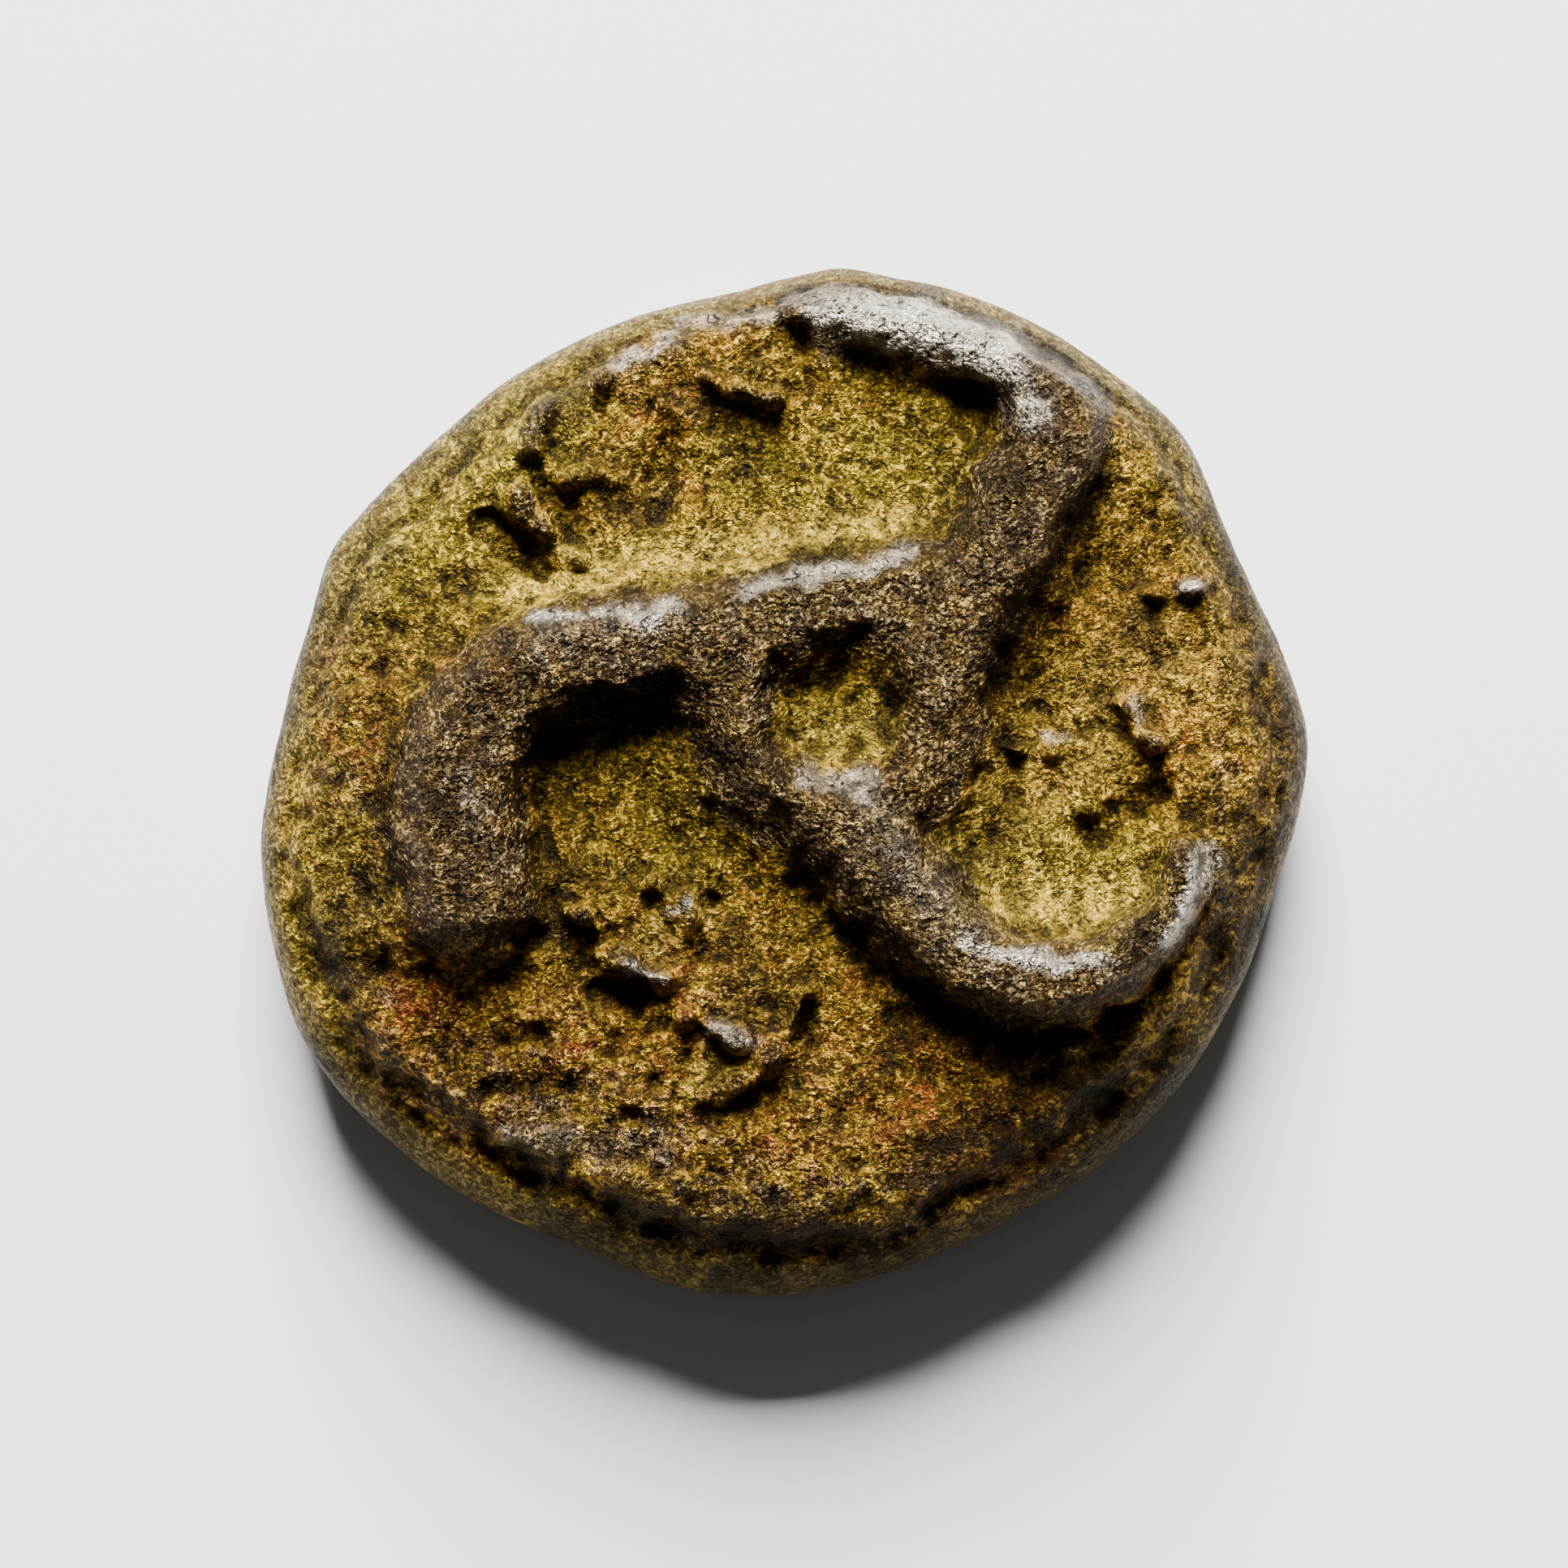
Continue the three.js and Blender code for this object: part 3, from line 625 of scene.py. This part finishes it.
class Builder:
    """Collects the coin's vertices, quads and triangles, with a few values kept for each vertex."""

    def __init__(self):
        self.points = []
        self.values = []
        self.quads = []
        self.triangles = []
        self.count = 0

    def add_points(self, points, edge, side, design):
        numbers = np.arange(self.count, self.count + len(points))
        full = np.ones(len(points))
        self.points.append(points)
        self.values.append(np.stack([full * edge, full * side, full * design], axis=1))
        self.count += len(points)
        return numbers

    def add_face(self, cells, height_at, side):
        out, angle = disc_grid(cells)
        radius = out * face_radius(angle)
        x, y = radius * np.cos(angle), radius * np.sin(angle)
        z = height_at(x, y, out, angle)
        if side > 0:
            design = upper_relief(x, y, out, angle)[1]
        else:
            design = star_design(x, y, out, angle)
        numbers = self.add_points(np.stack([x, y, z], axis=1), 0, side, design)
        quads = numbers[grid_quads(cells)]
        self.quads.append(quads if side > 0 else quads[:, ::-1])
        border = grid_border(cells)
        return numbers[border], np.stack([x, y, z], axis=1)[border]

    def add_band(self, upper, lower):
        following = np.roll(lower, -1)
        if len(upper) == len(lower):
            self.quads.append(np.stack([lower, following, np.roll(upper, -1), upper], axis=1))
            return
        first, second, third = upper[0::2], upper[1::2], np.roll(upper[0::2], -1)
        self.triangles.append(np.stack([lower, following, third], axis=1))
        self.triangles.append(np.stack([lower, third, second], axis=1))
        self.triangles.append(np.stack([lower, second, first], axis=1))


def coin_mesh():
    build = Builder()
    ring, border = build.add_face(UPPER_CELLS, upper_height, 1)
    for k in range(1, EDGE_ROWS + 1):
        share = k / EDGE_ROWS
        following = build.add_points(ring_points(border, share), share, mix(1, 0, share), 0)
        build.add_band(ring, following)
        ring = following
    lower_ring, lower_border = build.add_face(UPPER_CELLS // 2, lower_height, -1)
    for k in range(EDGE_ROWS - 1, 0, -1):
        share = k / EDGE_ROWS
        following = build.add_points(ring_points(lower_border, share), share, mix(-1, 0, share), 0)
        build.add_band(ring, following)
        ring = following
    build.add_band(ring, lower_ring)
    quads = np.concatenate(build.quads)
    triangles = np.concatenate(build.triangles)
    return np.concatenate(build.points), np.concatenate(build.values), quads, triangles


def vertex_normals(points, faces):
    normals = np.zeros_like(points)
    a, b, c = (points[faces[:, k]] for k in range(3))
    cross = np.cross(b - a, c - a)
    for k in range(3):
        for axis in range(3):
            normals[:, axis] += np.bincount(faces[:, k], cross[:, axis], len(points))
    return normals / np.linalg.norm(normals, axis=1)[:, None]


def smoothed(points, edges, rounds):
    """Positions after so many rounds of moving each vertex to the mean of its neighbours."""
    a, b = edges[:, 0], edges[:, 1]
    degree = np.bincount(a, minlength=len(points)) + np.bincount(b, minlength=len(points))
    for _ in range(rounds):
        total = np.zeros_like(points)
        for axis in range(3):
            total[:, axis] = np.bincount(a, points[b, axis], len(points))
            total[:, axis] += np.bincount(b, points[a, axis], len(points))
        points = total / degree[:, None]
    return points


def weathering(points, values):
    """How far each vertex stands out along its normal: lumps, corrosion grain, pits and edge marks."""
    x, y, z = points.T
    edge, side, design = values.T
    rough = Noise(WEATHER_SEED)
    on_top = side > 0.999
    swell = SWELL * rough.layered(points / SWELL_SIZE, 2)
    lump = LUMP * rough.layered(points / LUMP_SIZE + 3.1, 2)
    grain = GRAIN * rough.layered(points / GRAIN_SIZE + 5.2, 2, 0.6)
    pits = -PIT_DEPTH * ease((rough(points / PIT_SIZE + 31.7) - 0.4) / 0.3)
    field = swell + lump + grain + pits
    from_streaks = np.hypot(x - STREAK_MIDDLE[0], y - STREAK_MIDDLE[1])
    streaked = np.stack([x / STREAK_SIZE[0], y / STREAK_SIZE[1], z / STREAK_SIZE[2]], axis=1)
    streaks = STREAK * rough.layered(streaked + 2.9, 2)
    field += ease(1.2 - from_streaks / STREAK_REACH) * on_top * streaks
    field *= mix(1, DESIGN_WEATHERING, design) * np.where(side < 0, UNDERSIDE_WEATHERING, 1)

    along = np.arctan2(y, x) * EDGE_RADIUS / EDGE_MARK_LENGTH
    across = np.hypot(x, y) / EDGE_MARK_WIDTH
    marked = np.stack([along, across, z / EDGE_MARK_WIDTH], axis=1)
    marks = EDGE_MARK * rough.layered(marked + 8.4, 2)
    marks += EDGE_SWELL * rough(points / EDGE_SWELL_SIZE + 12.0) + EDGE_GRAIN * grain
    return mix(field, marks, ease(edge * 6))


def tint(rows, x, y):
    """The strength of a tint at each point of the upper face; some tints are patina, others painted
    highlight and painted shade.
    """
    waver = Noise(TINT_SEED)
    at = flat_points(x, y, TINT_WAVER_SIZE)
    px = x / FLAN_LENGTH + TINT_WAVER * waver.layered(at, 2)
    py = y / FLAN_LENGTH + TINT_WAVER * waver.layered(at + 5.5, 2)
    total = np.zeros_like(x)
    for from_x, from_y, to_x, to_y, reach, strength in rows:
        dx, dy = to_x - from_x, to_y - from_y
        t = clamp01(((px - from_x) * dx + (py - from_y) * dy) / (dx * dx + dy * dy))
        away = np.hypot(px - from_x - t * dx, py - from_y - t * dy)
        total = np.maximum(total, strength * (1 - ease(away / reach / TINT_SPREAD)))
    return total


def fitted(points):
    """The points brought to the box of the solid that they replace."""
    points[:, 2] = np.maximum(points[:, 2], 0)
    low, high = (np.array(corner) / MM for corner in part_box("coin"))
    middle = (points.min(axis=0) + points.max(axis=0)) / 2
    fit = (high - low) / (points.max(axis=0) - points.min(axis=0))
    points[:, :2] = (points[:, :2] - middle[:2]) * fit[:2] + (low + high)[:2] / 2
    points[:, 2] *= fit[2]
    return points


def standing(points, faces, quads, triangles):
    """How far each vertex stands out of its near and of its wider surroundings, in millimetres."""
    sides = [quads[:, [0, 1]], quads[:, [1, 2]], triangles[:, [0, 1]], triangles[:, [1, 2]]]
    edges = np.unique(np.sort(np.concatenate(sides), axis=1), axis=0)
    normals = vertex_normals(points, faces)
    fine = smoothed(points, edges, FINE_ROUNDS)
    broad = smoothed(fine, edges, BROAD_ROUNDS)
    return ((points - fine) * normals).sum(axis=1), ((fine - broad) * normals).sum(axis=1)


def patina(points, values):
    """The strength of each tint at each vertex, patina with painted highlight and shade: placed on the
    upper face, blotched underneath.
    """
    upper = values[:, 1] > 0
    under = clamp01(-values[:, 1])
    columns = {name: tint(rows, points[:, 0], points[:, 1]) * upper for name, rows in TINTS.items()}
    blotch = Noise(BLOTCH_SEED).layered(points / UNDERSIDE_BLOTCH_SIZE, 3)
    red = Noise(COPPER_SEED)(points / UNDERSIDE_COPPER_SIZE)
    columns["olive"] += under * clamp01(0.3 + blotch)
    columns["dark"] += under * clamp01(0.15 - 1.3 * blotch)
    columns["copper"] += under * clamp01(0.9 * red)
    return columns


def coin_piece():
    points, values, quads, triangles = coin_mesh()
    faces = np.concatenate([quads[:, [0, 1, 2]], quads[:, [0, 2, 3]], triangles])
    normals = vertex_normals(points, faces)
    points = fitted(points + normals * weathering(points, values)[:, None])
    standing_fine, standing_broad = standing(points, faces, quads, triangles)

    mesh = bpy.data.meshes.new("coin_surface")
    mesh.from_pydata((points * MM).tolist(), [], quads.tolist() + triangles.tolist())
    mesh.shade_smooth()
    columns = {
        "edge": values[:, 0],
        "design": values[:, 2],
        "standing_fine": standing_fine / FINE_STANDING,
        "standing_broad": standing_broad / BROAD_STANDING,
        **patina(points, values),
    }
    for name, column in columns.items():
        attribute = mesh.attributes.new(name, "FLOAT", "POINT")
        attribute.data.foreach_set("value", column.astype(np.float32))
    piece = bpy.data.objects.new("coin_struck_bronze", mesh)
    bpy.context.scene.collection.objects.link(piece)
    return piece


def srgb(code):
    """A linear colour from a six-digit web colour."""
    parts = (int(code[k:k + 2], 16) / 255 for k in (0, 2, 4))
    return tuple(c / 12.92 if c <= 0.04045 else ((c + 0.055) / 1.055) ** 2.4 for c in parts)


class Nodes:
    """Small helper for building a material's node tree."""

    def __init__(self, name):
        self.material = bpy.data.materials.new(name)
        self.material.use_nodes = True
        self.tree = self.material.node_tree
        self.shader = self.tree.nodes["Principled BSDF"]

    def add(self, kind, **settings):
        node = self.tree.nodes.new(kind)
        for key, value in settings.items():
            setattr(node, key, value)
        return node

    def link(self, source, target):
        self.tree.links.new(source, target)

    def attribute(self, name):
        return self.add("ShaderNodeAttribute", attribute_name=name).outputs["Fac"]

    def noise(self, vector, scale, detail=2.0, roughness=0.5, distortion=0.0):
        node = self.add("ShaderNodeTexNoise")
        node.inputs["Scale"].default_value = scale
        node.inputs["Detail"].default_value = detail
        node.inputs["Roughness"].default_value = roughness
        node.inputs["Distortion"].default_value = distortion
        self.link(vector, node.inputs["Vector"])
        return node.outputs["Fac"]

    def span(self, value, low, high, to_low=0.0, to_high=1.0):
        node = self.add("ShaderNodeMapRange", clamp=True, interpolation_type="SMOOTHSTEP")
        self.link(value, node.inputs["Value"])
        keys = ("From Min", "From Max", "To Min", "To Max")
        for key, number in zip(keys, (low, high, to_low, to_high)):
            node.inputs[key].default_value = number
        return node.outputs["Result"]

    def math(self, operation, a, b):
        node = self.add("ShaderNodeMath", operation=operation)
        for socket, value in zip(node.inputs, (a, b)):
            if isinstance(value, (int, float)):
                socket.default_value = value
            else:
                self.link(value, socket)
        return node.outputs[0]

    def ramp(self, value, stops, colours):
        node = self.add("ShaderNodeValToRGB")
        elements = node.color_ramp.elements
        while len(elements) < len(stops):
            elements.new(0.5)
        for element, place, colour in zip(elements, stops, colours):
            element.position = place
            element.color = (*srgb(colour), 1)
        self.link(value, node.inputs["Fac"])
        return node.outputs["Color"]

    def blend(self, share, a, b):
        """The colour from a to b by a share, where b may also be a six-digit web colour."""
        node = self.add("ShaderNodeMix", data_type="RGBA")
        self.link(share, node.inputs["Factor"])
        for socket, value in ((node.inputs[6], a), (node.inputs[7], b)):
            if isinstance(value, str):
                socket.default_value = (*srgb(value), 1)
            else:
                self.link(value, socket)
        return node.outputs[2]


def field_colour(n, noises, olive):
    """Ochre between the arms, with copper red and olive places and yellow painted highlight where
    slopes face the light.
    """
    field = n.ramp(noises["grain"], GRAIN_STOPS, FIELD_COLOURS)
    copper = n.ramp(noises["grain"], GRAIN_STOPS, COPPER_COLOURS)
    coppery = n.math("ADD", n.attribute("copper"), n.span(noises["patch"], 0.5, 0.65, 0, 0.5))
    coppery = n.math("MULTIPLY", n.span(noises["speck"], 0.42, 0.6), coppery)
    field = n.blend(coppery, field, copper)
    mottled = n.span(noises["tone"], 0.3, 0.55, 0.4, 1)
    field = n.blend(n.math("MULTIPLY", n.attribute("olive"), mottled), field, olive)
    # Painted highlight: yellow on slopes that face the light, broken by the grain.
    lit_grain = n.span(noises["grain"], 0.36, 0.56, 0.05, 0.7)
    return n.blend(n.math("MULTIPLY", n.attribute("painted_light"), lit_grain), field, PAINTED_LIGHT_COLOUR)


def worn_share(n, noises, broad):
    """How dark brown a place is: the arms, what stands high, and the grey stretches."""
    high = n.math("ADD", n.span(n.attribute("design"), 0.1, 0.8), n.span(broad, 0.4, 1.3, 0, 0.6))
    greyish = n.math("MULTIPLY", n.attribute("grey"), n.span(noises["speck"], 0.42, 0.56))
    share = n.math("MAXIMUM", high, greyish)
    return n.math("MULTIPLY", n.span(share, 0.1, 0.9), n.span(noises["tone"], 0.35, 0.6, 0.7, 1))


def edge_colour(n, noises, olive):
    """The edge's khaki, which takes some of the olive of the face beside it."""
    khaki = n.ramp(noises["grain"], EDGE_STOPS, EDGE_COLOURS)
    return n.blend(n.math("MULTIPLY", n.attribute("olive"), 0.4), khaki, olive)


def darkened(n, noises, colour, fine, broad):
    """The colour with dark patina and painted shade in places, dark patches, hollows darkened partly as
    patina and partly as painted shade, and pits.
    """
    # Dark patina, and painted shade where the hub and arms turn from the light.
    dark_and_shade_share = n.math("MULTIPLY", n.attribute("dark"), n.span(noises["tone"], 0.3, 0.6, 0.45, 0.95))
    colour = n.blend(dark_and_shade_share, colour, DARK_AND_SHADE_COLOUR)
    colour = n.blend(n.span(noises["patch"], 0.52, 0.34, 0, 0.7), colour, PATCH_COLOUR)
    # Darker in hollows and at the feet of the arms: patina in part, painted shade in part.
    away_from_olive = n.span(n.attribute("olive"), 0, 1, 1, 0)
    hollow = n.math("MULTIPLY", n.span(broad, 0.0, -1.0, 0, 0.42), away_from_olive)
    colour = n.blend(hollow, colour, HOLLOW_AND_SHADE_COLOUR)
    return n.blend(n.span(fine, 0.0, -1.2, 0, 0.65), colour, PIT_COLOUR)


def grain_bump(n, at, edge, bare_and_glint):
    """Corrosion finer than the mesh, calmer on the edge and on worn metal with its painted highlight.
    """
    calm = n.math("ADD", n.span(edge, 0.02, 0.3, 0, 0.5), n.span(bare_and_glint, 0, 1, 0, 0.2))
    coarse = n.math("MULTIPLY", n.noise(at, 5, 2, 0.6, 1.2), 0.9)
    bump = n.add("ShaderNodeBump")
    bump.inputs["Distance"].default_value = BUMP_DISTANCE
    n.link(n.span(calm, 0, 1, 0.9, 0.5), bump.inputs["Strength"])
    n.link(n.math("ADD", n.noise(at, 9.5, 3, 0.7, 1.4), coarse), bump.inputs["Height"])
    return bump.outputs["Normal"]


def bronze_material():
    n = Nodes("struck_bronze")
    in_millimetres = n.add("ShaderNodeMapping")
    in_millimetres.inputs["Scale"].default_value = (1 / MM, 1 / MM, 1 / MM)
    n.link(n.add("ShaderNodeTexCoord").outputs["Object"], in_millimetres.inputs["Vector"])
    at = in_millimetres.outputs["Vector"]
    noises = {
        "grain": n.noise(at, 7.5, 3, 0.65, 1.3),
        "patch": n.noise(at, 0.8, 3, 0.6),
        "speck": n.noise(at, 3.4, 3, 0.7),
        "tone": n.noise(at, 2.1, 2, 0.6),
    }
    grain = noises["grain"]
    edge = n.attribute("edge")
    fine = n.attribute("standing_fine")
    broad = n.attribute("standing_broad")

    olive = n.ramp(grain, GRAIN_STOPS, OLIVE_COLOURS)
    worn = worn_share(n, noises, broad)
    worn_metal = n.ramp(grain, WORN_STOPS, WORN_COLOURS)
    colour = n.blend(worn, field_colour(n, noises, olive), worn_metal)
    colour = n.blend(n.span(edge, 0.02, 0.2, 0, 0.85), colour, edge_colour(n, noises, olive))
    colour = darkened(n, noises, colour, fine, broad)
    # Pale worn metal with painted highlight on crests and on slopes that face the light.
    bare_and_glint = n.math("MULTIPLY", n.attribute("bare_and_glint"), n.span(grain, 0.34, 0.52))
    bare_and_glint = n.math("MULTIPLY", bare_and_glint, n.span(fine, -0.4, 0.6, 0.3, 1))
    n.link(n.blend(bare_and_glint, colour, BARE_AND_GLINT_COLOUR), n.shader.inputs["Base Color"])

    metal = n.math("ADD", n.span(worn, 0, 1, 0.9, 0.92), bare_and_glint)
    n.link(metal, n.shader.inputs["Metallic"])
    rough = n.math("ADD", n.span(worn, 0, 1, 0.5, 0.36), n.span(grain, 0.35, 0.65, 0.12, -0.08))
    n.link(rough, n.shader.inputs["Roughness"])
    n.link(grain_bump(n, at, edge, bare_and_glint), n.shader.inputs["Normal"])
    return n.material


def floor_piece():
    mesh = bpy.data.meshes.new("floor_surface")
    corners = [(x * FLOOR_HALF, y * FLOOR_HALF, 0) for x, y in ((-1, -1), (1, -1), (1, 1), (-1, 1))]
    mesh.from_pydata(corners, [], [(0, 1, 2, 3)])
    floor = bpy.data.objects.new("floor", mesh)
    bpy.context.scene.collection.objects.link(floor)
    material = bpy.data.materials.new("pale_floor")
    material.use_nodes = True
    shader = material.node_tree.nodes["Principled BSDF"]
    shader.inputs["Base Color"].default_value = FLOOR_COLOUR
    shader.inputs["Roughness"].default_value = FLOOR_ROUGHNESS
    mesh.materials.append(material)
    return floor


def add_key_light():
    """A square soft light that looks at the coin, from an azimuth anticlockwise from +X."""
    data = bpy.data.lights.new("key", "AREA")
    data.shape = "SQUARE"
    data.size = KEY_SIZE
    data.energy = KEY_POWER
    light = bpy.data.objects.new("key", data)
    azimuth, elevation = math.radians(KEY_AZIMUTH), math.radians(KEY_ELEVATION)
    level = math.cos(elevation)
    away = Vector((level * math.cos(azimuth), level * math.sin(azimuth), math.sin(elevation)))
    light.location = away * KEY_DISTANCE
    light.rotation_euler = away.to_track_quat("Z", "Y").to_euler()
    bpy.context.scene.collection.objects.link(light)


def add_world():
    world = bpy.data.worlds.new("soft_surroundings")
    world.use_nodes = True
    world.node_tree.nodes["Background"].inputs["Color"].default_value = (1, 1, 1, 1)
    world.node_tree.nodes["Background"].inputs["Strength"].default_value = WORLD_STRENGTH
    bpy.context.scene.world = world


def add_camera():
    """Straight above the coin, with the coin as large and in the same place as in the photograph."""
    data = bpy.data.cameras.new("camera")
    across = PHOTO_WIDTH / COIN_WIDTH * FLAN_LENGTH * MM
    pixel = across / PHOTO_WIDTH
    data.sensor_width = SENSOR_WIDTH
    data.lens = SENSOR_WIDTH * (CAMERA_HEIGHT - WIDEST_HEIGHT * MM) / across
    data.clip_start = 0.01
    data.clip_end = 10
    camera = bpy.data.objects.new("camera", data)
    camera.location = (
        (PHOTO_WIDTH / 2 - COIN_MIDDLE[0]) * pixel,
        (COIN_MIDDLE[1] - PHOTO_WIDTH / 2) * pixel,
        CAMERA_HEIGHT,
    )
    bpy.context.scene.collection.objects.link(camera)
    bpy.context.scene.camera = camera


coin = coin_piece()
coin.data.materials.append(bronze_material())
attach(coin, "root")
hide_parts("coin")

floor_piece()
add_key_light()
add_world()
add_camera()
